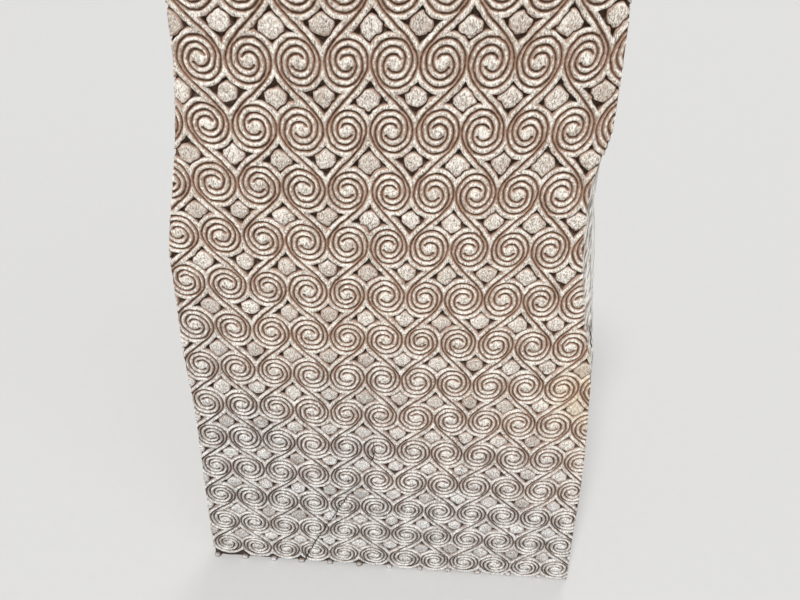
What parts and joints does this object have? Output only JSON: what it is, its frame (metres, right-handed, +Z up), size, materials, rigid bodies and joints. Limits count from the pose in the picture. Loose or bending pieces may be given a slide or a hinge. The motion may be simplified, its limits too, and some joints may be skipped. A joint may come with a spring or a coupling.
{
  "type": "carved wall panel",
  "caption": "Wide wooden wall board with a wavy natural edge, carved all over with rows of linked double spirals and small raised bosses between them.",
  "frame": {"origin": "middle of the flat back, on the wall plane", "axes": "+Z up along the board's length, +Y out of the back into the wall, +X to the right seen from the front; the carved face looks along -Y"},
  "size_m": [0.817, 0.04, 1.31],
  "materials": {
    "limed_wood": "matt, worn whitewash over reddish-brown wood"
  },
  "bodies": {
    "root": {"carved_panel": "limed_wood"}
  },
  "joints": []
}
